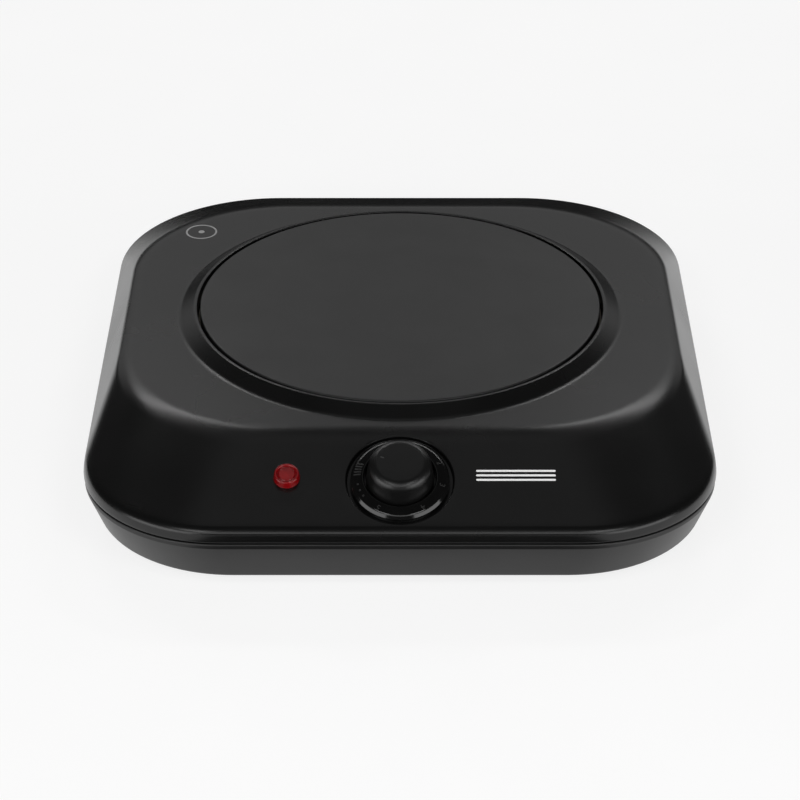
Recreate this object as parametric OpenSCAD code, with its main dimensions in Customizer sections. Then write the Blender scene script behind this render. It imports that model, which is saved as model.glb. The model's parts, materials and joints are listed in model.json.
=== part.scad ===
// Single cast-iron hot plate with an adjustable bimetal thermostat.
// Origin: on the standing surface, under the centre of the plate. +Z up, -Y to the front (knob side).

/* [Body] */
// Width of the body over its lip
body_w = 276.5; // [274:0.5:290]
// Depth of the body over its lip
body_d = 320; // [316:1:332]
// Height of the cooking surface above the table
plate_top = 57; // [57:0.5:62]
// Height of the rubber feet
foot_h = 7; // [6:0.5:7]
// Corner radius of the body at the front
corner_front = 62; // [58:1:68]
// Corner radius of the body at the back
corner_back = 76; // [70:1:80]

/* [Cooking plate] */
// Diameter of the cast-iron plate
plate_d = 185; // [180:1:186]
// Gap between the plate and the collar around it
plate_gap = 1.3; // [0.8:0.1:1.6]
// Height of the raised collar above the flat top
collar_h = 4.2; // [3:0.1:5]

/* [Controls] */
// Diameter of the dial ring
dial_d = 42; // [39:0.5:43]
// Diameter of the knob at its foot
knob_d = 28.8; // [28:0.2:30]
// Height of the knob above the front panel
knob_h = 12.6; // [12.4:0.1:16]
// Distance of the lamp from the knob
lamp_x = 48; // [40:1:60]
// Diameter of the lamp lens at its foot
lens_d = 11.3; // [10:0.1:12]

/* [Hidden] */
$fn = 64;

// Levels of the body
lip_proud = 0.4;
lip_bottom = 27.2;
slope_foot = 32.76;
land_z = plate_top - collar_h;
tray_top = 26.4;
tray_floor = foot_h + 2.2;
sheet = 1.2;

// Half sizes of the outline where the slopes start, and of the flat top
base_a = body_w / 2 - lip_proud;
base_b = body_d / 2 - lip_proud;
land_a = base_a - 11.65;
land_b = base_b - 48.9;
land_r = 73;
corner_steps = 10;

// Slope of the front panel, and the frame of the controls on it
panel_rise = atan2(land_z - slope_foot, base_b - land_b);
knob_down = 25.9;
knob_y = -land_b - knob_down * cos(panel_rise);
knob_z = land_z - knob_down * sin(panel_rise);

// Plate and collar radii
plate_r = plate_d / 2;
well_r = plate_r + plate_gap;
body_r = plate_r - 7.5;
rim_w = 2;
collar_r = well_r + rim_w + 6.2;
ledge_r = body_r + 1;
ledge_top = plate_top - 6.8;
disc_t = 6;
body_bottom = plate_top - 15;

// Heating coils: the radius of each groove, the coil's own radius and its height
coil_radii = [37, 55, 73];
coil_r = 2.8;
coil_z = body_bottom + 4.5;
groove_w = 8;
groove_top = body_bottom + 7.6;
cover_t = 0.8;
terminal_angle = -40;

// Fixings
post_x = 105;
post_y = 120;
post_top = 24;
shield_post = 58;
shield_z = 20;
strap_z = 34;
strap_t = 2;
strap_half = 90;
stud_r = 4;
gland_y = base_b - 2.2;
gland_z = 17.2;
gland_bore = 3.7;

// Thermostat levels, measured down from the front panel
dish_r = dial_d / 2 + 1.8;
dish_z = -2;
bracket_z = -3.4;
screw_x = 9;
stack_x = 15;
hinge_x = 10.2;
leaf_t = 0.4;
leaf_half = 3;
upper_leaf_z = -12.6;
lower_leaf_z = -16.8;
bimetal_z = -22;
bracket_foot_z = -22;
spindle_r = 1.5;
shaft_r = 3;
knob_mark = 160;

// ---------- Helpers ----------

function arc(cx, cy, r, start, steps, z) =
    [for (i = [0:steps]) [cx + r * cos(start + 90 * i / steps), cy + r * sin(start + 90 * i / steps), z]];

// Body outline as a closed ring of points: half sizes, the two corner radii and a height
function ring(a, b, rf, rb, z) = concat(
    arc(a - rb, b - rb, rb, 0, corner_steps, z),
    arc(rb - a, b - rb, rb, 90, corner_steps, z),
    arc(rf - a, rf - b, rf, 180, corner_steps, z),
    arc(a - rf, rf - b, rf, 270, corner_steps, z));

// Ring of the lip and of the tray: the base outline grown by a distance
function grown(g, z) = ring(base_a + g, base_b + g, corner_front + g, corner_back + g, z);

// Ring low on the tray, where the corners are rounder than the lip's
function tub(g, z) = ring(base_a + g, base_b + g, corner_front + g + 5, corner_back + g + 3, z);

function mix(p, q, t) = p + (q - p) * t;

// Half sizes, radii and height along the slope: 0 is its foot, 1 the sharp edge of the flat top
function slope_at(t) = [
    mix(base_a, land_a, t), mix(base_b, land_b, t), mix(corner_front, land_r, t),
    mix(corner_back, land_r, t), mix(slope_foot, land_z, t)];

// Quadratic curve from p to s that leaves and arrives in line with q
function bend(p, q, s, t) = (1 - t) * (1 - t) * p + 2 * t * (1 - t) * q + t * t * s;

// The rounded edge between the slope and the flat top
edge_start = 0.86;
edge_in = 5;
function edge_at(t) = let(rim = slope_at(1))
    bend(slope_at(edge_start), rim, rim - [edge_in, edge_in, edge_in, edge_in, 0], t);

// The rounding between the upright lip and the slope
lip_end = 0.06;
function lip_at(t) = let(
    p = lip_proud,
    low = [base_a + p, base_b + p, corner_front + p, corner_back + p, lip_bottom + 3],
    top = [low[0], low[1], low[2], low[3], slope_foot - 0.1])
    bend(low, top, slope_at(lip_end), t);

function slope_ring(v, inward, down) =
    ring(v[0] - inward, v[1] - inward, v[2] - inward, v[3] - inward, v[4] - down);

// Solid skin through a list of rings that all have the same number of points
module loft(rings) {
    m = len(rings[0]);
    last = len(rings) - 1;
    polyhedron(
        points = [for (r = rings) each r],
        faces = concat(
            [[for (j = [0:m - 1]) j]],
            [for (i = [0:last - 1], j = [0:m - 1])
                [i * m + j, (i + 1) * m + j, (i + 1) * m + (j + 1) % m]],
            [for (i = [0:last - 1], j = [0:m - 1])
                [i * m + j, (i + 1) * m + (j + 1) % m, i * m + (j + 1) % m]],
            [[for (j = [m - 1:-1:0]) last * m + j]]),
        convexity = 6);
}

// The frame of the front panel: z out of the panel, y up the slope
module on_panel(x = 0, y = 0) {
    translate([0, knob_y, knob_z]) rotate([panel_rise, 0, 0]) translate([x, y, 0]) children();
}

module tube(r_out, r_in, z0, z1) {
    difference() {
        translate([0, 0, z0]) cylinder(r = r_out, h = z1 - z0);
        translate([0, 0, z0 - 1]) cylinder(r = r_in, h = z1 - z0 + 2);
    }
}

module disc(r, z0, z1) {
    translate([0, 0, z0]) cylinder(r = r, h = z1 - z0);
}

module block(x0, x1, y0, y1, z0, z1) {
    translate([x0, y0, z0]) cube([x1 - x0, y1 - y0, z1 - z0]);
}

module four_corners(x, y) {
    for (sx = [-1, 1], sy = [-1, 1]) translate([sx * x, sy * y, 0]) children();
}

// Pan-head screw standing on its head: head radius and height, shank radius and length
module screw(head_r, head_h, shank_r, length) {
    difference() {
        union() {
            cylinder(r = head_r, h = head_h);
            cylinder(r = shank_r, h = head_h + length);
        }
        for (turn = [0, 90]) rotate([0, 0, turn])
            block(-head_r * 0.65, head_r * 0.65, -0.4, 0.4, -1, head_h * 0.5);
    }
}

module slot(length, width, height) {
    linear_extrude(height) {
        square([length - width, width], center = true);
        for (s = [-1, 1]) translate([s * (length - width) / 2, 0]) circle(d = width);
    }
}

// Swept strip of sheet: a path in the Y-Z plane, thickened downwards and extruded along X
function unit(v) = v / norm(v);
function left_of(v) = [-v[1], v[0]];
function path_normal(p, i) = let(
    n = len(p),
    d0 = i > 0 ? unit(p[i] - p[i - 1]) : unit(p[1] - p[0]),
    d1 = i < n - 1 ? unit(p[i + 1] - p[i]) : unit(p[n - 1] - p[n - 2]),
    m = unit(left_of(d0) + left_of(d1)))
    m / (m * left_of(d0));

module strip(path, thick, x0, x1) {
    back = [for (i = [len(path) - 1:-1:0]) path[i] + thick * path_normal(path, i)];
    translate([x0, 0, 0]) rotate([90, 0, 90]) linear_extrude(x1 - x0) polygon(concat(path, back));
}

// Round wire swept along a smooth curve through its route points
function spline_point(p0, p1, p2, p3, t) = 0.5 * ((2 * p1) + (p2 - p0) * t
    + (2 * p0 - 5 * p1 + 4 * p2 - p3) * t * t + (3 * p1 - p0 - 3 * p2 + p3) * t * t * t);
function spline(p, k) = let(n = len(p)) concat(
    [for (i = [0:n - 2], j = [0:k - 1])
        spline_point(p[max(i - 1, 0)], p[i], p[i + 1], p[min(i + 2, n - 1)], j / k)],
    [p[n - 1]]);
function tangent(p, i) = unit(p[min(i + 1, len(p) - 1)] - p[max(i - 1, 0)]);
function carry(p, i, before) = i >= len(p) ? [] : let(
    t = tangent(p, i),
    n = unit(before - (before * t) * t))
    concat([n], carry(p, i + 1, n));

module wire(route, r, sides = 8, k = 5) {
    p = spline(route, k);
    ns = carry(p, 0, unit([0.31, 0.17, 0.93]));
    n = len(p);
    polyhedron(
        points = [for (i = [0:n - 1]) let(t = tangent(p, i), u = ns[i], v = cross(t, u))
            for (j = [0:sides - 1]) p[i] + r * (cos(360 * j / sides) * u + sin(360 * j / sides) * v)],
        faces = concat(
            [[for (j = [0:sides - 1]) j]],
            [for (i = [0:n - 2], j = [0:sides - 1])
                [i * sides + j, (i + 1) * sides + j, (i + 1) * sides + (j + 1) % sides]],
            [for (i = [0:n - 2], j = [0:sides - 1])
                [i * sides + j, (i + 1) * sides + (j + 1) % sides, i * sides + (j + 1) % sides]],
            [[for (j = [sides - 1:-1:0]) (n - 1) * sides + j]]));
}

// ---------- Casing ----------

// Ring that carries the plate: up the collar, over its rim, down the well and in along the ledge
module collar_ring() {
    rotate_extrude($fn = 120) polygon([
        [collar_r + 0.5, land_z - 0.5], [collar_r - 0.5, land_z + 0.3],
        [collar_r - 1.2, land_z + 0.8], [well_r + rim_w + 0.7, plate_top - 0.8],
        [well_r + rim_w, plate_top - 0.25], [well_r + rim_w - 0.6, plate_top], [well_r + 0.6, plate_top],
        [well_r + 0.15, plate_top - 0.15], [well_r, plate_top - 0.6], [well_r, ledge_top],
        [ledge_r, ledge_top], [ledge_r, ledge_top - sheet], [well_r + sheet, ledge_top - sheet],
        [well_r + sheet, plate_top - sheet - 0.4], [well_r + rim_w, plate_top - sheet - 0.6],
        [collar_r - 1.2, land_z - sheet + 0.3]]);
}

// Outside of the casing: the upright lip, its rounding, the slope and the rounded edge of the flat top
module casing_skin() {
    loft(concat(
        [grown(0, lip_bottom), grown(lip_proud, lip_bottom + 0.5)],
        [for (t = [0:0.25:1]) slope_ring(lip_at(t), 0, 0)],
        [for (t = [0:0.25:1]) slope_ring(edge_at(t), 0, 0)]));
}

// Inside of the casing, one sheet thickness in from the skin
module casing_hollow() {
    loft(concat(
        [grown(lip_proud - sheet, lip_bottom - 1), grown(lip_proud - sheet, slope_foot - 2.2),
            grown(-1, slope_foot - sheet)],
        [for (t = [0:0.25:1]) slope_ring(edge_at(t), 1, sheet)]));
}

module top_housing() {
    color("#1c1c1d") difference() {
        union() {
            difference() {
                casing_skin();
                difference() {
                    casing_hollow();
                    four_corners(post_x, post_y) disc(4.5, post_top + 0.1, plate_top);
                }
                disc(collar_r - 2, land_z - 8, land_z + 8);
            }
            collar_ring();
            on_panel() disc(dish_r + sheet, dish_z - 1.4, -0.4);
        }
        on_panel() disc(dish_r, dish_z, 4);
        on_panel() disc(5.2, dish_z - 4, 0);
        for (s = [-1, 1]) on_panel(0, s * dial_d * 0.436) disc(1.6, dish_z - 4, 0);
        for (s = [-1, 1]) on_panel(s * screw_x) disc(1.7, dish_z - 4, 0);
        on_panel(-lamp_x, 1) disc(4.6, -4, 2);
        four_corners(post_x, post_y) disc(1.7, post_top - 1, 37);
    }
}

module base_tray() {
    color("#202021") difference() {
        union() {
            difference() {
                loft([tub(-6.6, foot_h), tub(-5.2, foot_h + 0.6), tub(-4.6, foot_h + 1.6),
                    grown(0.1, tray_top - 2.2), grown(0.1, tray_top - 0.7), grown(-0.6, tray_top),
                    grown(-2, tray_top), grown(-2, tray_top + 4)]);
                loft([tub(-7.6, tray_floor), tub(-6.8, tray_floor + 0.6), grown(-2.4, tray_top - 3.4),
                    grown(-3.4, tray_top - 1.6), grown(-3.4, tray_top + 5)]);
            }
            translate([0, gland_y, gland_z]) rotate([90, 0, 0]) disc(8.6, 0, 6.4);
            four_corners(post_x, post_y) disc(5, tray_floor - 0.5, post_top);
            four_corners(shield_post, shield_post) disc(4, tray_floor - 0.5, shield_z);
        }
        four_corners(post_x, post_y) disc(1.9, foot_h - 1, post_top + 1);
        four_corners(shield_post, shield_post) disc(1.3, tray_floor + 2, shield_z + 1);
        for (sx = [-1, 1], i = [-3:3]) translate([sx * 92, i * 13, foot_h - 1]) slot(34, 3.4, 6);
        for (sy = [-1, 1], i = [-2:2]) translate([i * 20, sy * 96, foot_h - 1]) rotate([0, 0, 90])
            slot(26, 3.4, 6);
        translate([0, gland_y + 8, gland_z]) rotate([90, 0, 0]) {
            disc(8.4, 0, 8);
            disc(6.2, 0, 20);
        }
    }
}

module foot(sx, sy) {
    translate([sx * post_x, sy * post_y, 0]) color("#161616") difference() {
        rotate_extrude() polygon([
            [2.1, 0], [8.6, 0], [9.3, 0.7], [10, foot_h - 0.8], [10, foot_h], [2.1, foot_h]]);
        disc(4.4, -1, 3.2);
    }
}

module housing_screws() {
    color("#8d8f92") four_corners(post_x, post_y) translate([0, 0, 1]) screw(3.9, 2.2, 1.6, 33);
}

// ---------- Plate and heater ----------

module hot_plate() {
    color("#2b2b2b") difference() {
        rotate_extrude($fn = 120) polygon([
            [0, body_bottom], [body_r, body_bottom], [body_r, plate_top - disc_t],
            [plate_r - 0.6, plate_top - disc_t], [plate_r, plate_top - disc_t + 0.6],
            [plate_r, plate_top - 0.8], [plate_r - 0.25, plate_top - 0.25], [plate_r - 0.8, plate_top],
            [0, plate_top]]);
        for (r = coil_radii) difference() {
            disc(r + groove_w / 2, body_bottom - 1, groove_top);
            disc(r - groove_w / 2, body_bottom - 2, groove_top + 1);
        }
        disc(stud_r + 0.02, body_bottom - 1, plate_top - 6);
    }
}

module plate_gasket() {
    color("#b9b4a6") tube(well_r - 0.5, ledge_r + 0.5, ledge_top, plate_top - disc_t);
}

module coil(r) {
    color("#a8a39a") rotate_extrude($fn = 120) translate([r, coil_z]) circle(r = coil_r, $fn = 32);
}

module coil_cement() {
    color("#cfc9bd") difference() {
        for (r = coil_radii) tube(r + groove_w / 2 - 0.05, r - groove_w / 2 + 0.05, body_bottom, coil_z);
        for (r = coil_radii) rotate_extrude($fn = 120) translate([r, coil_z]) circle(r = coil_r + 0.1, $fn = 32);
        for (r = coil_radii) rotate([0, 0, terminal_angle]) translate([r, 0, 0]) disc(1.2, 30, coil_z);
    }
}

module plate_cover() {
    color("#9b9d9f") difference() {
        disc(body_r - 0.5, body_bottom - cover_t, body_bottom);
        disc(stud_r + 0.3, 0, 60);
        for (r = coil_radii) rotate([0, 0, terminal_angle]) translate([r, 0, 0]) disc(1.6, 30, 60);
    }
}

module centre_stud() {
    color("#8d8f92") union() {
        disc(stud_r, 24.6, plate_top - 6.5);
        disc(stud_r - 0.6, 24, 24.6);
    }
}

// Sheet-steel bridge under the plate: its ends bear up against the ledge of the casing
module bridge_strap() {
    end_top = ledge_top - sheet;
    color("#a6a8aa") difference() {
        rotate([0, 0, 90]) strip([
            [-strap_half - 4, end_top - strap_t], [-strap_half, end_top - strap_t], [-strap_half + 2, strap_z],
            [strap_half - 2, strap_z], [strap_half, end_top - strap_t], [strap_half + 4, end_top - strap_t]],
            strap_t, -9, 9);
        disc(stud_r + 0.3, 20, 60);
        translate([-66, 0, 0]) disc(2.1, 20, 60);
    }
}

module stud_washer() {
    color("#b5b7b9") tube(9, stud_r + 0.2, strap_z - 1.6, strap_z);
}

module stud_nut() {
    color("#9a9c9f") difference() {
        translate([0, 0, strap_z - 8.1]) cylinder(r = 7.5, h = 6.5, $fn = 6);
        disc(stud_r + 0.02, 20, 60);
    }
}

module coil_terminal_block() {
    top = body_bottom - cover_t;
    color("#e4e0d6") rotate([0, 0, terminal_angle]) difference() {
        union() {
            block(31, 79, -6, 6, top - 5, top);
            for (r = coil_radii) translate([r, 0, 0]) disc(4.6, top - 8, top);
        }
        for (r = coil_radii) translate([r, 0, 0]) disc(1.1, top - 12, top + 2);
    }
}

module coil_terminal_pins() {
    bottom = body_bottom - 15;
    color("#c9c6bd") rotate([0, 0, terminal_angle]) for (r = coil_radii) translate([r, 0, 0]) {
        disc(1, bottom + 5, coil_z - coil_r - 0.1);
        block(-0.4, 0.4, -3.1, 3.1, bottom, bottom + 5.5);
    }
}

module heat_shield() {
    color("#b8babb") difference() {
        union() {
            disc(94, shield_z, shield_z + 0.8);
            tube(94, 93.2, shield_z, shield_z + 3);
            for (r = [50, 70]) tube(r + 2, r - 2, shield_z, shield_z + 1.6);
        }
        four_corners(shield_post, shield_post) disc(1.8, 0, 40);
        disc(10, 0, 40);
    }
}

module heat_shield_screws() {
    color("#8d8f92") four_corners(shield_post, shield_post) translate([0, 0, shield_z + 2.4])
        mirror([0, 0, 1]) screw(2.8, 1.6, 1.2, 7);
}

// ---------- Dial and thermostat ----------

module dial_bezel() {
    outer = dial_d / 2;
    inner = knob_d / 2 + 0.9;
    color("#101010") on_panel() {
        rotate_extrude($fn = 96) polygon([
            [inner, dish_z], [outer, dish_z], [outer, 0.2], [outer - 1, 1.3], [outer - 2.1, 2],
            [inner + 0.5, 2.5], [inner, 2.2]]);
        for (s = [-1, 1]) translate([0, s * dial_d * 0.436, 0]) disc(1.4, dish_z - 3, dish_z + 0.5);
    }
}

module knob() {
    r = knob_d / 2;
    edge = 4.2;
    color("#1b1b1b") on_panel() difference() {
        rotate_extrude($fn = 96) polygon(concat(
            [[0, -0.8], [4.6, -0.8], [5.2, 10.2], [r - 3, 10.2], [r - 2.2, -1], [r, -1], [r, 1.5]],
            [for (t = [0:15:90])
                [r - 1 - edge + edge * cos(t), knob_h - edge + edge * sin(t)]],
            [[0, knob_h]]));
        difference() {
            disc(shaft_r + 0.03, -2, 10.2);
            block(-4, 4, 2.6, 6, -3, 11);
        }
        rotate([0, 0, knob_mark]) translate([8, 0, knob_h - 0.35]) slot(2, 0.9, 1);
    }
}

module knob_clip() {
    color("#b5b7b9") on_panel() block(-1.4, 1.4, 2.02, 2.55, 1, 8.5);
}

module thermostat_shaft() {
    color("#b08d3c") on_panel() difference() {
        disc(shaft_r, -9, 9.6);
        block(-4, 4, 2, 6, -1, 12);
        disc(spindle_r + 0.05, -10, -3);
    }
}

module shaft_bush() {
    color("#b08d3c") on_panel() difference() {
        union() {
            disc(4.8, -11, -1.7);
            translate([0, 0, -6.8]) cylinder(r = 6.6, h = 2, $fn = 6);
        }
        disc(shaft_r + 0.05, -12, 0);
    }
}

module thermostat_bracket() {
    color("#a6a8aa") on_panel() difference() {
        union() {
            block(-14, 22, -8, 8, bracket_z - 1.4, bracket_z);
            block(20.6, 22, -8, 8, bracket_foot_z - 1.4, bracket_z);
            block(hinge_x + 0.3, 22, -8, 8, bracket_foot_z - 1.4, bracket_foot_z);
        }
        disc(4.85, -10, 0);
        for (s = [-1, 1]) translate([s * screw_x, 0, 0]) disc(1.55, -10, 0);
        block(20, 23, -4, 4, lower_leaf_z - 1.5, upper_leaf_z + 2);
        translate([stack_x, 0, 0]) disc(1.6, -30, -20);
    }
}

module thermostat_screws() {
    color("#8d8f92") on_panel() for (s = [-1, 1]) translate([s * screw_x, 0, dish_z + 1.6])
        mirror([0, 0, 1]) screw(2.6, 1.6, 1.5, 5);
}

module adjuster_spindle() {
    tip = upper_leaf_z + leaf_t + 0.05;
    color("#e4e0d6") on_panel() union() {
        disc(spindle_r, tip + spindle_r, -4.5);
        translate([0, 0, tip + spindle_r]) sphere(r = spindle_r);
    }
}

module insulator_stack() {
    color("#e4e0d6") on_panel(stack_x) {
        tube(4.5, 1.65, bimetal_z + 1, lower_leaf_z);
        tube(4.5, 1.65, lower_leaf_z + leaf_t, upper_leaf_z);
        tube(4.5, 1.65, upper_leaf_z + leaf_t, upper_leaf_z + leaf_t + 3);
    }
}

module stack_rivet() {
    top = upper_leaf_z + leaf_t + 3;
    color("#9a9c9f") on_panel(stack_x) union() {
        disc(1.5, bracket_foot_z - 2.2, top + 0.8);
        disc(2.6, bracket_foot_z - 2.4, bracket_foot_z - 1.4);
        disc(2.6, top, top + 1);
    }
}

// Fixed root of a contact leaf, with the blade terminal that its wire plugs on to
module leaf_tab(z) {
    color("#c08a4a") on_panel() difference() {
        union() {
            block(hinge_x + 0.3, 22, -leaf_half, leaf_half, z, z + leaf_t);
            block(22, 32, -2.4, 2.4, z, z + leaf_t);
        }
        translate([stack_x, 0, 0]) disc(1.65, -30, 0);
        translate([28.5, 0, 0]) disc(0.8, -30, 0);
    }
}

module leaf(z) {
    color("#c08a4a") on_panel() block(-9, hinge_x - 0.3, -leaf_half, leaf_half, z, z + leaf_t);
}

module contact(z) {
    color("#d9d9d6") on_panel(-6) disc(1.8, z, z + 1.05);
}

// Steel arm that clamps the bimetal and carries the plate's heat to it
module sensor_arm() {
    x0 = hinge_x + 0.3;
    x1 = 19.6;
    rise = [cos(panel_rise), sin(panel_rise)];
    drop = [sin(panel_rise), -cos(panel_rise)];
    root = [knob_y, knob_z] - (bimetal_z) * drop;
    under = body_bottom - cover_t;
    color("#a6a8aa") difference() {
        strip([root - 4.5 * rise, root + 27 * rise, [-92, under - 1], [-68, under - 1]], 1, x0, x1);
        on_panel(stack_x) disc(1.65, -30, -18);
    }
}

module bimetal_strip() {
    color("#cbbf9f") on_panel() block(-9, hinge_x - 0.3, -4, 4, bimetal_z, bimetal_z + 1);
}

module pusher_pin() {
    color("#e4e0d6") on_panel(-1) disc(1.3, bimetal_z + 1, lower_leaf_z - 0.06);
}

// ---------- Indicator lamp ----------

module lamp_lens() {
    r = lens_d / 2;
    color("#a01014") on_panel(-lamp_x, 1) difference() {
        rotate_extrude($fn = 48) polygon([
            [0, -10], [4.4, -10], [4.4, 0], [r, 0], [r - 0.2, 2.2], [r - 0.6, 3],
            [r - 1.3, 3.4], [0, 3.4]]);
        disc(3.4, -11, 1.4);
    }
}

module lamp_body() {
    color("#d8d4cb") on_panel(-lamp_x, 1) difference() {
        union() {
            disc(4.4, -12, -10);
            disc(3.2, -16, -12);
        }
        for (s = [-1, 1]) translate([s * 1.6, 0, 0]) disc(0.9, -17, -13);
    }
}

module neon_bulb() {
    color("#e8a070") on_panel(-lamp_x, 1) union() {
        disc(2.2, -10, -3);
        translate([0, 0, -3]) sphere(r = 2.2);
    }
}

module lamp_clip() {
    color("#a6a8aa") on_panel(-lamp_x, 1) difference() {
        disc(8, -2.4, -1.8);
        disc(4.45, -4, 0);
        for (turn = [0:60:300]) rotate([0, 0, turn]) block(3, 6.2, -0.4, 0.4, -4, 0);
    }
}

// ---------- Mains inlet and wiring ----------

// Bush in the rear wall that the mains lead passes through
module cord_gland() {
    color("#151515") translate([0, gland_y, gland_z]) rotate([-90, 0, 0]) difference() {
        union() {
            disc(8, 0, 2.4);
            disc(6.1, -10.4, 0.5);
            disc(7.4, -10.4, -6.4);
        }
        disc(gland_bore, -11, 3);
    }
}

module mains_terminal_block() {
    color("#d8d4cb") difference() {
        union() {
            block(-21, 21, 117, 133, tray_floor, tray_floor + 5);
            for (x = [-14, 0, 14]) block(x - 5, x + 5, 117, 133, tray_floor, tray_floor + 12);
        }
        for (x = [-14, 0, 14]) translate([x, 0, tray_floor + 6.5]) rotate([-90, 0, 0]) disc(2.2, 115, 135);
        for (x = [-14, 0, 14], y = [121, 129]) translate([x, y, 0]) disc(1.8, tray_floor + 6, 40);
    }
}

module mains_terminal_screws() {
    color("#b5b7b9") for (x = [-14, 0, 14], y = [121, 129])
        translate([x, y, tray_floor + 11.6]) mirror([0, 0, 1]) screw(1.7, 1.6, 1.2, 2);
}

wire_r = 1.3;
lead_r = 0.9;
terminal_z = tray_floor + 6.5;
route_live = [[14, 116.8, terminal_z], [16, 108, 15], [60, 104, 13], [108, 86, 13], [121, 20, 13],
    [119, -60, 13], [92, -104, 14], [60, -124, 20], [42, -130.5, 28], [34, -130.4, 31.6]];
route_neutral = [[0, 116.8, terminal_z], [2, 107, 16], [40, 100, 15], [88, 84, 15], [104, 30, 18],
    [104, -20, 22], [84, -50, 25], [60, -42, 26], [42, -30, 25]];
route_heater = [[34, -125.9, 26.6], [44, -122, 23], [62, -106, 23], [76, -76, 26], [66, -56, 25], [58, -47, 25]];
route_earth = [[-14, 116.8, terminal_z], [-16, 108, 15], [-50, 100, 15], [-88, 72, 17], [-100, 34, 22],
    [-92, 8, 27], [-80, 0, 31.4], [-71, 0, 32.4]];
route_lamp_live = [[-46.4, -127.4, 26.2], [-44, -125, 17], [-20, -121, 13], [14, -122, 12.6], [38, -127, 15],
    [42, -133, 21], [36, -130.8, 27.8]];
route_lamp_neutral = [[-49.6, -127.4, 26.2], [-54, -124, 17], [-88, -104, 13], [-119, -60, 13], [-121, 10, 13],
    [-110, 80, 13], [-64, 112, 13], [-24, 111, 19], [-5, 110, 19.6], [-1.6, 116.3, 17.4]];

// Earth lead, with the ring terminal that the screw clamps under the bridge
module earth_wire() {
    color("#7fa03a") wire(route_earth, wire_r);
    color("#b5b7b9") translate([-66, 0, 0]) difference() {
        union() {
            disc(4, strap_z - 1, strap_z);
            block(-5.5, -3, -1.5, 1.5, strap_z - 1, strap_z);
        }
        disc(2.1, 0, 60);
    }
}

module earth_screw() {
    color("#8d8f92") translate([-66, 0, strap_z - 3.4]) screw(3.6, 2.2, 2, 6);
}

// ---------- Nodes ----------

top_housing();
base_tray();
foot(-1, -1);  // foot_front_left
foot(1, -1);  // foot_front_right
foot(-1, 1);  // foot_rear_left
foot(1, 1);  // foot_rear_right
housing_screws();
hot_plate();
plate_gasket();
coil(coil_radii[2]);  // outer_coil
coil(coil_radii[1]);  // middle_coil
coil(coil_radii[0]);  // inner_coil
coil_cement();
plate_cover();
centre_stud();
bridge_strap();
stud_washer();
stud_nut();
coil_terminal_block();
coil_terminal_pins();
heat_shield();
heat_shield_screws();
dial_bezel();
knob();
knob_clip();
thermostat_shaft();
shaft_bush();
thermostat_bracket();
thermostat_screws();
adjuster_spindle();
insulator_stack();
stack_rivet();
leaf_tab(upper_leaf_z);  // adjuster_tab
leaf(upper_leaf_z);  // adjuster_leaf
contact(upper_leaf_z - 1.05);  // upper_contact
leaf_tab(lower_leaf_z);  // contact_tab
leaf(lower_leaf_z);  // contact_leaf
contact(lower_leaf_z + leaf_t);  // lower_contact
sensor_arm();
bimetal_strip();
pusher_pin();
lamp_lens();
lamp_body();
neon_bulb();
lamp_clip();
cord_gland();
mains_terminal_block();
mains_terminal_screws();
color("#7a4a2a") wire(route_live, wire_r);  // live_wire
color("#3d5f9a") wire(route_neutral, wire_r);  // neutral_wire
color("#b8b4aa") wire(route_heater, wire_r);  // heater_wire
earth_wire();
earth_screw();
color("#7a4a2a") wire(route_lamp_live, lead_r);  // lamp_live_wire
color("#3d5f9a") wire(route_lamp_neutral, lead_r);  // lamp_neutral_wire
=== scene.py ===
"""Single cast-iron hot plate with a thermostat dial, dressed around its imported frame.

Lengths in this file are millimetres; a mesh is turned into metres when it is made.
"""

import json
import logging
import math
from dataclasses import dataclass, field
from enum import Enum
from typing import Sequence

import bmesh
import bpy
import numpy as np
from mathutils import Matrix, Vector


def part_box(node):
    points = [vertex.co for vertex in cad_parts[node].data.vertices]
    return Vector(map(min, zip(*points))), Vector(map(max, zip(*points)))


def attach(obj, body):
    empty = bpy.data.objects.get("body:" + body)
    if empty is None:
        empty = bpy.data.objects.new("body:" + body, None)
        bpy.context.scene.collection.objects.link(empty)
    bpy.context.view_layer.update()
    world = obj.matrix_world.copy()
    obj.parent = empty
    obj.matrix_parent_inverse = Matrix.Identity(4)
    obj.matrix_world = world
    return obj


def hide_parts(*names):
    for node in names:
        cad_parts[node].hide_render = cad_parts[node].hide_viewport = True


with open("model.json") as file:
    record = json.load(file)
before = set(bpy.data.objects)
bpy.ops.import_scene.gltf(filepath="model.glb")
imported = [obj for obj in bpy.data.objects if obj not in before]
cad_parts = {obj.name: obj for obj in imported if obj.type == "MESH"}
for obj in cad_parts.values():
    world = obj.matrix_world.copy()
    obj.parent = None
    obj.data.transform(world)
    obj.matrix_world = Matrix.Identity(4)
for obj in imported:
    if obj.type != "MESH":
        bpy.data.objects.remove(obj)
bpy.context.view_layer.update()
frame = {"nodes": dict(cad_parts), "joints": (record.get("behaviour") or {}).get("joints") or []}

MM = 0.001
TAU = 2 * math.pi
CORNERS = [(sx, sy) for sx in (-1, 1) for sy in (-1, 1)]
log = logging.getLogger("hot_plate")

Colour = tuple[float, float, float]


# ---------- Finishes ----------


class Grain(Enum):
    """Kinds of fine relief that a surface can carry."""

    FINE = "fine"
    TURNED = "turned"
    BRUSHED = "brushed"
    BRAIDED = "braided"
    CAST = "cast"
    WOUND = "wound"


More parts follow.
